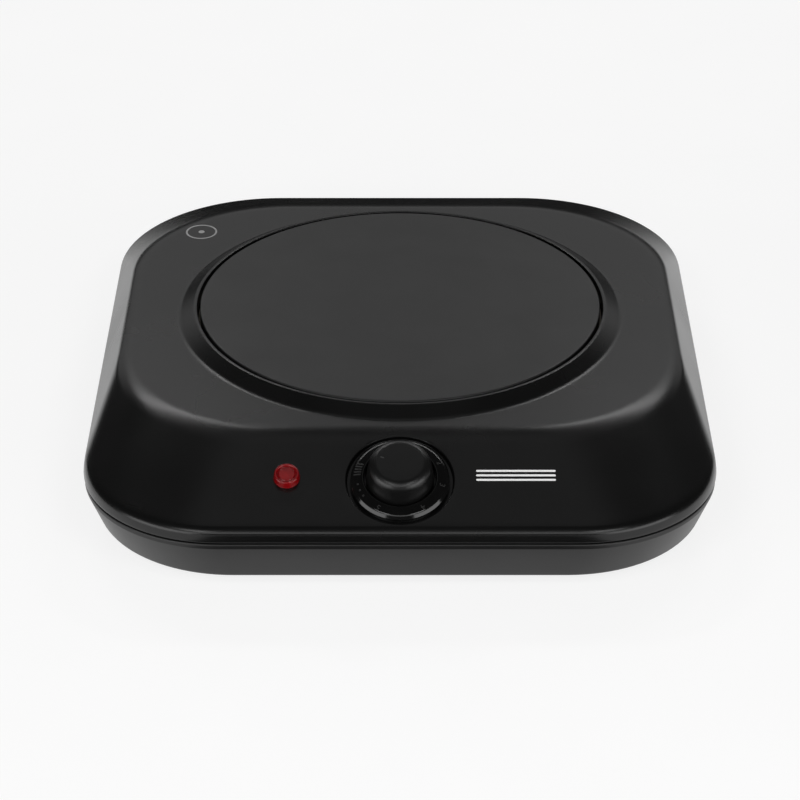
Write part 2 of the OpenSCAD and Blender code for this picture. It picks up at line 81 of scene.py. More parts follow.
class Sheet:
    """The node tree of one material, with short ways to add and join nodes."""

    def __init__(self, name: str) -> None:
        """Start an empty material.

        Args:
            name: name of the new material.
        """
        self.material = bpy.data.materials.new(name)
        self.material.use_nodes = True
        self.tree = self.material.node_tree
        self.shader = self.tree.nodes["Principled BSDF"]
        self.place = self.add("ShaderNodeTexCoord").outputs["Object"]

    def add(self, kind: str, **settings: object) -> bpy.types.Node:
        """Add a node and set its properties.

        Args:
            kind: Blender's name of the node type.
            **settings: property names and their values.

        Returns:
            The new node.
        """
        node = self.tree.nodes.new(kind)
        for name, value in settings.items():
            setattr(node, name, value)
        return node

    def join(self, source: bpy.types.NodeSocket, target: bpy.types.NodeSocket) -> None:
        """Link an output to an input."""
        self.tree.links.new(source, target)

    def reckon(self, operation: str, *values: object) -> bpy.types.NodeSocket:
        """Add a Math node.

        Args:
            operation: the Math node's operation.
            *values: numbers or sockets, in the order of the node's inputs.

        Returns:
            The result's socket.
        """
        node = self.add("ShaderNodeMath", operation=operation)
        for socket, value in zip(node.inputs, values):
            if isinstance(value, bpy.types.NodeSocket):
                self.join(value, socket)
            else:
                socket.default_value = value
        return node.outputs[0]

    def stretched(self, scale: Sequence[float]) -> bpy.types.NodeSocket:
        """Object coordinates scaled by a different amount along each axis.

        Args:
            scale: the three factors, per metre.

        Returns:
            The scaled vector's socket.
        """
        node = self.add("ShaderNodeMapping")
        node.inputs["Scale"].default_value = scale
        self.join(self.place, node.inputs["Vector"])
        return node.outputs[0]

    def noise(self, size: float, detail: float = 2.0,
              place: bpy.types.NodeSocket | None = None) -> bpy.types.NodeSocket:
        """Cloudy noise with features of a given size.

        Args:
            size: size of its features in millimetres.
            detail: how many finer layers it has.
            place: coordinates to use in place of the object's own.

        Returns:
            The socket of the noise value, about 0 to 1.
        """
        node = self.add("ShaderNodeTexNoise")
        node.inputs["Scale"].default_value = 1 if place is not None else 1 / (size * MM)
        node.inputs["Detail"].default_value = detail
        self.join(place if place is not None else self.place, node.inputs["Vector"])
        return node.outputs["Fac"]

    def spread(self, value: bpy.types.NodeSocket, low: float, high: float) -> bpy.types.NodeSocket:
        """Map the usual range of noise, 0.3 to 0.7, on to low to high.

        Args:
            value: the socket to map.
            low: result at 0.3 and under.
            high: result at 0.7 and over.

        Returns:
            The mapped value's socket.
        """
        node = self.add("ShaderNodeMapRange")
        for name, number in zip(("From Min", "From Max", "To Min", "To Max"), (0.3, 0.7, low, high)):
            node.inputs[name].default_value = number
        self.join(value, node.inputs["Value"])
        return node.outputs["Result"]

    def from_axis(self) -> bpy.types.NodeSocket:
        """Distance from the upright axis through the origin, in metres."""
        parts = self.add("ShaderNodeSeparateXYZ")
        self.join(self.place, parts.inputs[0])
        squares = [self.reckon("MULTIPLY", axis, axis) for axis in parts.outputs[:2]]
        return self.reckon("SQRT", self.reckon("ADD", *squares))


@dataclass(frozen=True)
class Finish:
    """How one material looks: two mottled colours, a spread of gloss, a fine relief and any glow."""

    name: str
    colour: Colour
    mottle: Colour
    roughness: float = 0.5
    mottle_size: float = 9.0
    gloss_spread: float = 0.04
    metallic: float = 0.0
    grain: Grain = Grain.FINE
    grain_size: float = 0.5
    grain_height: float = 0.006
    specular: float = 0.5
    ior: float = 1.5
    transmission: float = 0.0
    glow: float = 0.0

    def relief(self, sheet: Sheet) -> bpy.types.NodeSocket:
        """Height of the fine relief, from 0 to about 1.

        Args:
            sheet: the material that it is made in.

        Returns:
            The height's socket.
        """
        pitch = self.grain_size * MM
        if self.grain is Grain.TURNED:
            ridge = sheet.reckon("SINE", sheet.reckon("MULTIPLY", sheet.from_axis(), TAU / pitch))
            return sheet.reckon("ADD", sheet.reckon("MULTIPLY", ridge, 0.25),
                                sheet.noise(self.grain_size / 2))
        if self.grain is Grain.BRUSHED:
            return sheet.noise(1, 3, sheet.stretched((0.04 / pitch, 1 / pitch, 1 / pitch)))
        if self.grain is Grain.BRAIDED:
            parts = sheet.add("ShaderNodeSeparateXYZ")
            sheet.join(sheet.place, parts.inputs[0])
            ways = [sheet.reckon(sign, *parts.outputs[:2]) for sign in ("ADD", "SUBTRACT")]
            strands = [sheet.reckon("SINE", sheet.reckon("MULTIPLY", v, TAU / pitch)) for v in ways]
            return sheet.reckon("MULTIPLY_ADD", strands[0], strands[1], 0.5)
        if self.grain is Grain.WOUND:
            turns = sheet.reckon("MULTIPLY", sheet.from_axis(), TAU / pitch)
            return sheet.reckon("MULTIPLY_ADD", sheet.reckon("SINE", turns), 0.5, 0.5)
        if self.grain is Grain.CAST:
            cells = sheet.add("ShaderNodeTexVoronoi")
            cells.inputs["Scale"].default_value = 1 / pitch
            sheet.join(sheet.place, cells.inputs["Vector"])
            return sheet.reckon("ADD", sheet.reckon("MULTIPLY", cells.outputs["Distance"], 0.5),
                                sheet.noise(self.grain_size * 2, 4))
        return sheet.noise(self.grain_size, 3)

    def material(self) -> bpy.types.Material:
        """Make the material, or return it if it is made already."""
        if self.name in bpy.data.materials:
            return bpy.data.materials[self.name]
        sheet = Sheet(self.name)
        shader = sheet.shader
        mix = sheet.add("ShaderNodeMix", data_type="RGBA")
        mix.inputs["A"].default_value = (*self.colour, 1)
        mix.inputs["B"].default_value = (*self.mottle, 1)
        sheet.join(sheet.spread(sheet.noise(self.mottle_size), 0, 1), mix.inputs["Factor"])
        sheet.join(mix.outputs["Result"], shader.inputs["Base Color"])
        low, high = self.roughness - self.gloss_spread, self.roughness + self.gloss_spread
        smears = sheet.noise(self.mottle_size * 2.3, 3)
        sheet.join(sheet.spread(smears, low, high), shader.inputs["Roughness"])
        shader.inputs["Metallic"].default_value = self.metallic
        shader.inputs["Specular IOR Level"].default_value = self.specular
        shader.inputs["IOR"].default_value = self.ior
        shader.inputs["Transmission Weight"].default_value = self.transmission
        shader.inputs["Emission Color"].default_value = (*(c / max(self.colour) for c in self.colour), 1)
        shader.inputs["Emission Strength"].default_value = self.glow
        bump = sheet.add("ShaderNodeBump")
        bump.inputs["Distance"].default_value = self.grain_height * MM
        sheet.join(self.relief(sheet), bump.inputs["Height"])
        sheet.join(bump.outputs["Normal"], shader.inputs["Normal"])
        return sheet.material


def grey(level: float) -> Colour:
    """A neutral colour of that level."""
    return (level, level, level)


SATIN_ENAMEL = Finish("satin_enamel", grey(0.0032), grey(0.0040), 0.26, 22, 0.025, grain_size=0.9,
                      grain_height=0.003, specular=0.46)
SATIN_TRAY = Finish("satin_tray_plastic", grey(0.0032), grey(0.0042), 0.40, 15, 0.03, grain_size=0.5,
                    grain_height=0.004)
COATED_IRON = Finish("coated_cast_iron", grey(0.0040), grey(0.0052), 0.42, 14, 0.03, grain=Grain.TURNED,
                     grain_size=0.8, grain_height=0.004)
KNOB_PLASTIC = Finish("knob_satin_plastic", grey(0.0040), grey(0.0050), 0.32, 5, 0.03, grain_size=0.25,
                      grain_height=0.003)
RING_PLASTIC = Finish("dial_gloss_plastic", grey(0.0030), grey(0.0038), 0.13, 5, 0.03, grain_size=0.6,
                      grain_height=0.0015)
# The pale print also glows a little: painted light that brightens the front lines beyond what the softboxes
# give them.
PALE_PRINT_PAINTED_GLOW = Finish("pale_print_painted_glow", grey(0.88), grey(0.80), 0.5, 3, 0.05, grain_size=0.12, grain_height=0.004,
                    glow=0.22)
SOFT_PRINT = Finish("soft_grey_print", grey(0.55), grey(0.46), 0.5, 3, 0.05, grain_size=0.12,
                    grain_height=0.004)
FOOT_RUBBER = Finish("foot_rubber_black", grey(0.012), grey(0.018), 0.75, 3, 0.06, grain_size=0.3,
                     grain_height=0.02, specular=0.35)
GLAND_RUBBER = Finish("gland_rubber_black", grey(0.010), grey(0.014), 0.6, 3, 0.06, grain_size=0.25,
                      grain_height=0.012, specular=0.4)
DIAL_MARKS = Finish("dial_raised_marks", grey(0.020), grey(0.030), 0.34, 2, 0.04, grain_size=0.3,
                    grain_height=0.003)
POINTER_INK = Finish("pointer_ink", grey(0.045), grey(0.060), 0.45, 2, 0.05, grain_size=0.2,
                     grain_height=0.003)
RED_LENS = Finish("red_lens", (0.40, 0.005, 0.008), (0.30, 0.003, 0.006), 0.10, 2.5, 0.04, grain_size=0.6,
                  grain_height=0.004, transmission=0.45, ior=1.58)
# The diffuser has a faint red glow: painted light that brightens the lamp's core.
RED_CORE = Finish("red_diffuser", (0.55, 0.030, 0.020), (0.45, 0.020, 0.016), 0.35, 1.6, 0.05, grain_size=0.3,
                  grain_height=0.01, glow=0.12)


# ---------- Shapes ----------


@dataclass
class Shape:
    """Points in millimetres and the faces that join them, before they become a mesh."""

    points: np.ndarray
    faces: list[list[int]]

    def moved(self, turn: np.ndarray, shift: Sequence[float]) -> "Shape":
        """A copy turned by a 3 by 3 matrix and then shifted."""
        return Shape(self.points @ np.asarray(turn).T + np.asarray(shift), self.faces)

    def at(self, x: float, y: float, z: float = 0.0) -> "Shape":
        """A copy shifted by x, y and z."""
        return Shape(self.points + np.array([x, y, z]), self.faces)


def together(shapes: Sequence[Shape]) -> Shape:
    """Several shapes as one.

    Args:
        shapes: the shapes, which keep their places.

    Returns:
        One shape that holds all their points and faces.
    """
    starts = np.cumsum([0] + [len(s.points) for s in shapes])
    faces = [[i + int(start) for i in face] for s, start in zip(shapes, starts) for face in s.faces]
    return Shape(np.concatenate([s.points for s in shapes]), faces)


def skin(points: np.ndarray, closed: bool) -> Shape:
    """Join a grid of points into a surface.

    Cell (i, j) joins point (i, j) to the next one along the ring and to the same two on the next ring.
    Rings close on themselves.

    Args:
        points: rings by points by three coordinates.
        closed: whether the last ring joins the first.

    Returns:
        The surface.
    """
    rows, cols = points.shape[:2]
    i = np.arange(rows if closed else rows - 1)[:, None]
    j = np.arange(cols)[None, :]
    up, on = (i + 1) % rows, (j + 1) % cols
    cells = np.stack(np.broadcast_arrays(i * cols + j, i * cols + on, up * cols + on, up * cols + j), axis=-1)
    return Shape(points.reshape(-1, 3), cells.reshape(-1, 4).tolist())


def lathe(profile: np.ndarray, steps: int = 96, closed: bool = True) -> Shape:
    """Turn a profile about Z: its point (r, z) at turn a lies at (r cos a, r sin a, z).

    Args:
        profile: rows of radius and height.
        steps: number of steps round the turn.
        closed: whether the profile's last point joins its first; if not, it starts and ends on the axis.

    Returns:
        The turned surface.
    """
    turn = np.arange(steps) * TAU / steps
    r, z = profile[:, :1], profile[:, 1:2]
    points = np.stack(np.broadcast_arrays(r * np.cos(turn), r * np.sin(turn), z), axis=-1)
    return skin(points, closed)


def prism(outline: np.ndarray, low: float, high: float) -> Shape:
    """A flat outline carried straight up from one height to another.

    Args:
        outline: rows of x and y, in order round the outline.
        low: height of the lower face.
        high: height of the upper face.

    Returns:
        The closed solid.
    """
    n = len(outline)
    points = np.concatenate([np.c_[outline, np.full(n, z)] for z in (low, high)])
    sides = [[j, (j + 1) % n, n + (j + 1) % n, n + j] for j in range(n)]
    return Shape(points, sides + [list(range(n))[::-1], list(range(n, 2 * n))])


def disc(radius: float, low: float, high: float, steps: int = 48) -> Shape:
    """A straight round bar between two heights."""
    turn = np.arange(steps) * TAU / steps
    return prism(radius * np.c_[np.cos(turn), np.sin(turn)], low, high)


def pill(length: float, width: float, steps: int = 12) -> np.ndarray:
    """Outline of a bar with round ends: two half circles joined by straight sides.

    Args:
        length: whole length along x.
        width: width along y.
        steps: number of steps round each end.

    Returns:
        Rows of x and y.
    """
    turn = np.linspace(-math.pi / 2, math.pi / 2, steps + 1)
    end = width / 2 * np.c_[np.cos(turn), np.sin(turn)] + [(length - width) / 2, 0]
    return np.concatenate([end, -end])


def rounded(corners: Sequence[Sequence[float]], steps: int = 6, closed: bool = True) -> np.ndarray:
    """Round the corners of an outline with arcs.

    An arc of radius R touches both sides of its corner. Its centre lies on the bisector, R over the sine
    of half the corner's angle away, and its points are spaced evenly by angle.

    Args:
        corners: rows of x, y and the corner's radius, 0 to leave it sharp.
        steps: number of steps in each arc.
        closed: whether the outline closes on itself.

    Returns:
        Rows of x and y.
    """
    spots = np.array([c[:2] for c in corners], float)
    last = len(spots) - 1
    found = []
    for i, (spot, radius) in enumerate(zip(spots, (c[2] for c in corners))):
        if radius == 0 or (not closed and i in (0, last)):
            found.append(spot[None])
            continue
        before, after = (spots[(i + k) % len(spots)] - spot for k in (-1, 1))
        reach = 0.49 * min(np.linalg.norm(before), np.linalg.norm(after))
        before, after = before / np.linalg.norm(before), after / np.linalg.norm(after)
        half = math.acos(float(np.clip(before @ after, -1, 1))) / 2
        radius = min(radius, reach * math.tan(half))
        centre = spot + (before + after) / np.linalg.norm(before + after) * radius / math.sin(half)
        start, end = (spot + v * radius / math.tan(half) - centre for v in (before, after))
        sweep = math.pi - 2 * half
        t = np.linspace(0, 1, steps + 1)[:, None]
        found.append(centre + (np.sin((1 - t) * sweep) * start + np.sin(t * sweep) * end) / math.sin(sweep))
    return np.concatenate(found)


def tidy(mesh: bpy.types.Mesh) -> None:
    """Merge points that lie on each other, close the poles and turn every face outwards."""
    work = bmesh.new()
    work.from_mesh(mesh)
    bmesh.ops.remove_doubles(work, verts=work.verts, dist=1e-7)
    bmesh.ops.dissolve_degenerate(work, edges=work.edges, dist=1e-7)
    bmesh.ops.recalc_face_normals(work, faces=work.faces)
    work.to_mesh(mesh)
    work.free()


def make(name: str, shape: Shape, finish: Finish, crease: float = 32.0) -> bpy.types.Object:
    """Make an object from a shape, with its place in its mesh.

    Args:
        name: name of the piece.
        shape: its points and faces.
        finish: what it is made of.
        crease: angle in degrees over which an edge stays sharp.

    Returns:
        The object, linked to the scene.
    """
    mesh = bpy.data.meshes.new(name)
    mesh.from_pydata((shape.points * MM).tolist(), [], shape.faces)
    tidy(mesh)
    mesh.materials.append(finish.material())
    piece = bpy.data.objects.new(name, mesh)
    bpy.context.scene.collection.objects.link(piece)
    soften(piece, crease)
    return piece


def soften(piece: bpy.types.Object, crease: float = 32.0) -> None:
    """Shade a piece smooth, with edges sharper than the crease angle left sharp."""
    piece.data.polygons.foreach_set("use_smooth", np.ones(len(piece.data.polygons), bool))
    piece.data.set_sharp_from_angle(angle=math.radians(crease))


def carve(piece: bpy.types.Object, tool: Shape, operation: str = "DIFFERENCE") -> None:
    """Cut a shape out of a piece, or add it, and keep the result as the piece's mesh.

    Args:
        piece: the piece to work on, a closed mesh.
        tool: the closed shape to cut with or to add.
        operation: Blender's name of the boolean operation.
    """
    helper = make(piece.name + "_tool", tool, SATIN_ENAMEL)
    change = piece.modifiers.new("carve", "BOOLEAN")
    change.operation, change.solver, change.object = operation, "MANIFOLD", helper
    bpy.context.view_layer.update()
    result = bpy.data.meshes.new_from_object(piece.evaluated_get(bpy.context.evaluated_depsgraph_get()))
    piece.modifiers.clear()
    piece.data = result
    bpy.data.objects.remove(helper)
    soften(piece)


def settle(piece: bpy.types.Object, body: str, slot: str, *replaced: str) -> bpy.types.Object:
    """Give a finished piece to its body, hide the CAD nodes that it stands for, and report it.

    Args:
        piece: the finished piece.
        body: name of the body that it moves with.
        slot: name of the record's material slot; not used.
        *replaced: CAD nodes that it stands for.

    Returns:
        The piece.
    """
    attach(piece, body)
    if replaced:
        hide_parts(*replaced)
    log.info("%s: %d faces on %s", piece.name, len(piece.data.polygons), body)
    return piece


@dataclass(frozen=True)
class Plane:
    """A flat work frame: x to the right, y up the slope and z out of the surface."""

    origin: tuple[float, float, float]
    up: tuple[float, float, float]
    out: tuple[float, float, float]

    def lay(self, shape: Shape, x: float = 0.0, y: float = 0.0) -> Shape:
        """Carry a shape from the frame, moved by x and y in it, to its place on the object.

        Args:
            shape: the shape in the frame's own coordinates.
            x: shift to the right.
            y: shift up the slope.

        Returns:
            The placed shape.
        """
        axes = np.array([np.cross(self.up, self.out), self.up, self.out]).T
        return shape.at(x, y).moved(axes, self.origin)

    @classmethod
    def of_panel(cls) -> "Plane":
        """The sloping front panel: through the knob's turning point, square to its axis."""
        turn = next(j for j in frame["joints"] if j["name"] == "knob_turn")
        out = -np.array(turn["axis"], float)
        up = np.cross(out, [1, 0, 0])
        return cls(tuple(np.array(turn["pos_m"]) / MM), tuple(up), tuple(out))

    @classmethod
    def of_land(cls, height: float) -> "Plane":
        """The flat top of the casing, at that height."""
        return cls((0, 0, height), (0, 1, 0), (0, 0, 1))


# ---------- Outline of the body ----------


@dataclass(frozen=True)
class Outline:
    """Plan outline of the body: a rounded rectangle with one corner radius in front and one behind."""

    half_width: float = 137.85
    half_depth: float = 159.6
    front_radius: float = 62.0
    back_radius: float = 76.0
    land_half_width: float = 126.2
    land_half_depth: float = 110.7
    land_radius: float = 73.0
    foot_height: float = 32.76
    land_height: float = 52.8
    tub_top: float = 24.2
    tub_low: float = 8.6
    tub_soft: tuple[float, float] = (5.0, 3.0)
    corner_steps: int = 26
    side_steps: int = 22

    def grown(self, by: float, height: float) -> np.ndarray:
        """Measures of the outline grown evenly by a distance, at a height."""
        return np.array([self.half_width + by, self.half_depth + by, self.front_radius + by,
                         self.back_radius + by, height])

    def tub(self, by: float, height: float) -> np.ndarray:
        """Like grown, with corners that grow rounder from the tray's rim down to its underside."""
        share = float(np.clip((self.tub_top - height) / (self.tub_top - self.tub_low), 0, 1))
        return self.grown(by, height) + share * np.array([0, 0, *self.tub_soft, 0])

    def sloped(self, t: float) -> np.ndarray:
        """Measures of the outline along the casing's slope: 0 is its foot and 1 the edge of the flat top."""
        top = np.array([self.land_half_width, self.land_half_depth, self.land_radius, self.land_radius,
                        self.land_height])
        return (1 - t) * self.grown(0, self.foot_height) + t * top

    def rings(self, measures: np.ndarray) -> np.ndarray:
        """Points of outlines with given measures.

        A corner is an arc of its radius about a centre set in by that radius from both sides, and each
        straight side is divided evenly between two corners.

        Args:
            measures: rows of half width, half depth, front radius, back radius and height.

        Returns:
            Rings by points by three coordinates.
        """
        a, b, front, back, height = np.asarray(measures, float).T[:, :, None]
        quarter = np.linspace(0, math.pi / 2, self.corner_steps + 1)
        parts = []
        for k, (sx, sy, r) in enumerate(((1, 1, back), (-1, 1, back), (-1, -1, front), (1, -1, front))):
            turn = quarter + k * math.pi / 2
            x, y = sx * (a - r) + r * np.cos(turn), sy * (b - r) + r * np.sin(turn)
            parts.append(np.stack([x, y], axis=-1))
        share = np.linspace(0, 1, self.side_steps + 1)[None, 1:-1, None]
        filled = []
        for here, there in zip(parts, parts[1:] + parts[:1]):
            filled += [here, (1 - share) * here[:, -1:] + share * there[:, :1]]
        flat = np.concatenate(filled, axis=1)
        return np.concatenate([flat, np.broadcast_to(height[..., None], flat.shape[:2] + (1,))], axis=-1)

    def circles(self, profile: np.ndarray, like: np.ndarray) -> np.ndarray:
        """Circles whose points lie in the same directions from the centre as those of a ring.

        Args:
            profile: rows of radius and height.
            like: the ring of points that gives the directions.

        Returns:
            Rings by points by three coordinates.
        """
        turn = np.arctan2(like[:, 1], like[:, 0])
        r, z = profile[:, :1], profile[:, 1:2]
        return np.stack(np.broadcast_arrays(r * np.cos(turn), r * np.sin(turn), z), axis=-1)


def bend(start: np.ndarray, corner: np.ndarray, end: np.ndarray, steps: int) -> np.ndarray:
    """Measures along a quadratic curve that leaves the start and meets the end in line with the corner.

    Args:
        start: measures at the start.
        corner: measures at the sharp corner that the curve rounds.
        end: measures at the end.
        steps: number of steps along the curve.

    Returns:
        Rows of measures.
    """
    t = np.linspace(0, 1, steps + 1)[:, None]
    return (1 - t) ** 2 * start + 2 * t * (1 - t) * corner + t ** 2 * end


def between(first: np.ndarray, last: np.ndarray, shares: Sequence[float]) -> np.ndarray:
    """Rings that lie at given shares of the way from one ring to another."""
    share = np.array(shares)[:, None, None]
    return (1 - share) * first[None] + share * last[None]


# ---------- Casing and tray ----------


@dataclass
class Casing:
    """Pressed upper housing: lip, slopes, flat top, collar round the plate and openings for the controls."""

    outline: Outline
    panel: Plane
    sheet: float = 1.2
    lip_bottom: float = 27.2
    lip_proud: float = 0.4
    lip_height: float = 3.2
    lip_lean: float = 0.5
    edge_start: float = 0.86
    edge_in: float = 5.0
    plate_top: float = 57.0
    well_radius: float = 93.8
    rim_top_radius: float = 95.2
    collar_foot_radius: float = 102.1
    collar_foot_round: float = 8.0
    ledge_radius: float = 86.0
    ledge_height: float = 50.2
    dish_radius: float = 22.8
    dish_depth: float = 2.0
    dish_round: float = 0.8
    bush_radius: float = 5.2
    peg: tuple[float, float] = (18.3, 1.6)
    screw: tuple[float, float] = (9.0, 1.7)
    lamp: tuple[float, float, float] = (-48.0, 1.0, 4.6)
    post: tuple[float, float, float, float] = (105.0, 120.0, 4.5, 24.1)
    post_top: float = 37.5
    post_bore: float = 1.7

    def skirt(self) -> np.ndarray:
        """Rings up the lip, round its leaning top and up the slope on to the flat top."""
        o, proud, low = self.outline, self.lip_proud, self.lip_bottom
        lip = rounded([(proud - self.sheet, low, 0), (proud, low, 0.5), (proud, low + 1.4, 0)], 4,
                      closed=False)
        measures = [o.grown(g, z) for g, z in lip]
        measures += list(bend(o.grown(proud - self.lip_lean / 2, low + self.lip_height),
                              o.grown(proud - self.lip_lean, o.foot_height - 0.15), o.sloped(0.06), 14))
        measures += [o.sloped(t) for t in (0.1, 0.3, 0.6, 0.83, self.edge_start - 0.01)]
        inset = np.array([self.edge_in] * 4 + [0])
        measures += list(bend(o.sloped(self.edge_start), o.sloped(1), o.sloped(1) - inset, 16))
        return o.rings(np.array(measures))

    def collar(self) -> np.ndarray:
        """Profile of the collar: up its slope, over the rim, down the well and back under the ledge."""
        land, top, under = self.outline.land_height, self.plate_top, self.ledge_height - self.sheet
        back = self.well_radius + self.sheet
        return rounded([
            (self.collar_foot_radius + 2.6, land, 0), (self.collar_foot_radius, land, self.collar_foot_round),
            (self.rim_top_radius, top, 1.3), (self.well_radius, top, 0.5),
            (self.well_radius, self.ledge_height, 0.6), (self.ledge_radius, self.ledge_height, 0.3),
            (self.ledge_radius, under, 0.3), (back, under, 0.8), (back, top - 1.5, 0.3),
            (back + 0.8, top - 1.6, 0.5), (self.collar_foot_radius - 0.4, land - 1.2, 3),
            (self.collar_foot_radius + 2.4, land - 1.2, 0)], 8, closed=False)

    def lining(self) -> np.ndarray:
        """Rings of the inside, from the flat top down to the lip."""
        o = self.outline
        inward = np.array([1, 1, 1, 1, self.sheet])
        inset = np.array([self.edge_in] * 4 + [0])
        measures = list(bend(o.sloped(self.edge_start), o.sloped(1), o.sloped(1) - inset, 8)[::-1] - inward)
        measures += [o.grown(-1.6, o.foot_height - self.sheet - 0.2),
                     o.grown(self.lip_proud - self.sheet - 0.6, o.foot_height - 2.6)]
        return o.rings(np.array(measures))

    def shell(self) -> Shape:
        """The pressed sheet as one closed surface.

        The rings of the skirt are carried on, over the flat top, into the circles of the collar, round under
        the ledge and back along the inside.
        """
        skirt, lining = self.skirt(), self.lining()
        circles = self.outline.circles(self.collar(), skirt[-1])
        top = between(skirt[-1], circles[0], (0.04, 0.3, 0.65, 0.96))
        under = between(circles[-1], lining[0], (0.33, 0.67))
        return skin(np.concatenate([skirt, top, circles, under, lining]), closed=True)

    def posts(self) -> Shape:
        """The four screw posts, straight round bars up to a fixed height."""
        x, y, r, foot = self.post
        return together([disc(r, foot, self.post_top).at(sx * x, sy * y) for sx, sy in CORNERS])

    def build(self) -> bpy.types.Object:
        """Build the casing and cut its openings.

        Returns:
            The finished piece.
        """
        piece = make("casing", self.shell(), SATIN_ENAMEL)
        carve(piece, self.posts(), "UNION")
        lay = self.panel.lay
        carve(piece, lay(disc(self.dish_radius + self.sheet, -self.dish_depth - 1.4, -0.4, 96)), "UNION")
        depth, r, edge = self.dish_depth, self.dish_radius, self.dish_round
        wall = rounded([(r, 0.02, 0), (r, -depth, 0.5), (0, -depth, 0)], 6, closed=False)
        flare = bend(np.array([r + edge, 0.03]), np.array([r, 0.0]), np.array([r, -edge]), 6)
        dish = np.concatenate([[[0, 4], [r + edge, 4]], flare, wall[1:]])
        carve(piece, lay(lathe(dish, 128, closed=False)))
        holes = [lay(disc(self.bush_radius, -6, 0.5))]
        holes += [lay(disc(self.peg[1], -6, 0.5), 0, s * self.peg[0]) for s in (-1, 1)]
        holes += [lay(disc(self.screw[1], -6, 0.5), s * self.screw[0], 0) for s in (-1, 1)]
        holes += [lay(disc(self.lamp[2], -5, 3), self.lamp[0], self.lamp[1])]
        x, y = self.post[:2]
        holes += [disc(self.post_bore, 20, self.post_top - 2).at(sx * x, sy * y) for sx, sy in CORNERS]
        carve(piece, together(holes))
        return settle(piece, "housing", "housing_paint", "top_housing")


@dataclass
class Tray:
    """Moulded lower tray: flared wall, tongue, air slots, posts, foot seats and cord outlet."""

    outline: Outline
    bottom: float = 7.0
    floor: float = 9.2
    top: float = 26.4
    tongue_top: float = 30.4
    panel_in: float = 17.0
    panel_deep: float = 0.6
    post: tuple[float, float] = (105.0, 120.0)
    shield_post: tuple[float, float] = (58.0, 20.0)
    gland: tuple[float, float] = (157.4, 17.2)
    hub: float = 14.0
    post_radius: float = 5.0
    post_bore: float = 1.9
    shield_post_radius: float = 4.0
    shield_post_bore: float = 1.3
    seat_radius: float = 11.6
    gland_pad: float = 8.6
    gland_recess: float = 8.4
    gland_hole: float = 6.2
    slot_flare: float = 0.45

    def wall(self) -> np.ndarray:
        """Rings from the underside, up the flared wall, over the tongue and down the inside to the floor."""
        low, rim = self.bottom, self.top
        sunk = low + self.panel_deep
        line = rounded([
            (-self.panel_in - 4, sunk, 0), (-self.panel_in, sunk, 0.8), (-self.panel_in + 0.9, low, 0.8),
            (-5.0, low, 2.6), (0.1, 24.2, 0.7), (0.1, rim, 0.9), (-2.0, rim, 0.3),
            (-2.0, self.tongue_top, 0.4), (-3.4, self.tongue_top, 0.4), (-3.4, 24.6, 0.6),
            (-7.4, self.floor, 1.6), (-12, self.floor, 0)], 6, closed=False)
        return self.outline.rings(np.array([self.outline.tub(g, z) for g, z in line]))

    def shell(self) -> Shape:
        """The tub as one closed surface: flat underside, wall and inner floor, closed at two poles."""
        wall = self.wall()
        discs = [self.outline.circles(np.array([[self.hub, z], [0, z]]), ring)
                 for z, ring in ((wall[0, 0, 2], wall[0]), (self.floor, wall[-1]))]
        below = between(discs[0][0], wall[0], (0.35, 0.7, 0.97))
        above = between(wall[-1], discs[1][0], (0.03, 0.35, 0.7))
        return skin(np.concatenate([discs[0][::-1], below, wall, above, discs[1]]), closed=False)

    def air_slot(self, length: float, width: float) -> Shape:
        """Cutter for one air slot, with a small chamfer above and below."""
        flare = self.slot_flare
        levels = ((-2, flare), (self.panel_deep, flare), (self.panel_deep + flare, 0),
                  (self.floor - self.bottom - flare, 0), (self.floor - self.bottom, flare), (6, flare))
        n = len(pill(length, width))
        rings = [np.c_[pill(length + 2 * g, width + 2 * g), np.full(n, self.bottom + z)] for z, g in levels]
        shape = skin(np.array(rings), closed=False)
        shape.faces += [list(range(n))[::-1], list(range(len(shape.points) - n, len(shape.points)))]
        return shape

    def slots(self) -> Shape:
        """The four banks of air slots, two of seven across the sides and two of five fore and aft."""
        quarter = np.array([[0, -1, 0], [1, 0, 0], [0, 0, 1]])
        side, end = self.air_slot(34, 3.4), self.air_slot(26, 3.4).moved(quarter, (0, 0, 0))
        cuts = [side.at(s * 92, i * 13) for s in (-1, 1) for i in range(-3, 4)]
        cuts += [end.at(i * 20, s * 96) for s in (-1, 1) for i in range(-2, 3)]
        return together(cuts)

    def bosses(self) -> Shape:
        """The four screw posts and the four shorter posts of the heat shield."""
        (x, y), (s, top), low = self.post, self.shield_post, self.floor - 0.5
        parts = [disc(self.post_radius, low, 24).at(sx * x, sy * y) for sx, sy in CORNERS]
        parts += [disc(self.shield_post_radius, low, top).at(sx * s, sy * s) for sx, sy in CORNERS]
        return together(parts)

    def build(self) -> bpy.types.Object:
        """Build the tray with its posts and openings.

        Returns:
            The finished piece.
        """
        piece = make("tray", self.shell(), SATIN_TRAY)
        carve(piece, self.bosses(), "UNION")
        (x, y), s = self.post, self.shield_post[0]
        seat = disc(self.seat_radius, self.bottom, self.floor - 0.3, 64)
        carve(piece, together([seat.at(sx * x, sy * y) for sx, sy in CORNERS]), "UNION")
        rearward = Plane((0, self.gland[0], self.gland[1]), (0, 0, -1), (0, 1, 0))
        carve(piece, rearward.lay(disc(self.gland_pad, -6.4, 0, 64)), "UNION")
        carve(piece, self.slots())
        bores = [disc(self.post_bore, self.bottom - 1, 25).at(sx * x, sy * y) for sx, sy in CORNERS]
        bores += [disc(self.shield_post_bore, self.floor + 2, 21).at(sx * s, sy * s) for sx, sy in CORNERS]
        bores += [rearward.lay(disc(self.gland_recess, 0, 8, 64))]
        carve(piece, together(bores))
        carve(piece, rearward.lay(disc(self.gland_hole, -12, 1, 64)))
        return settle(piece, "housing", "tray_plastic", "base_tray")


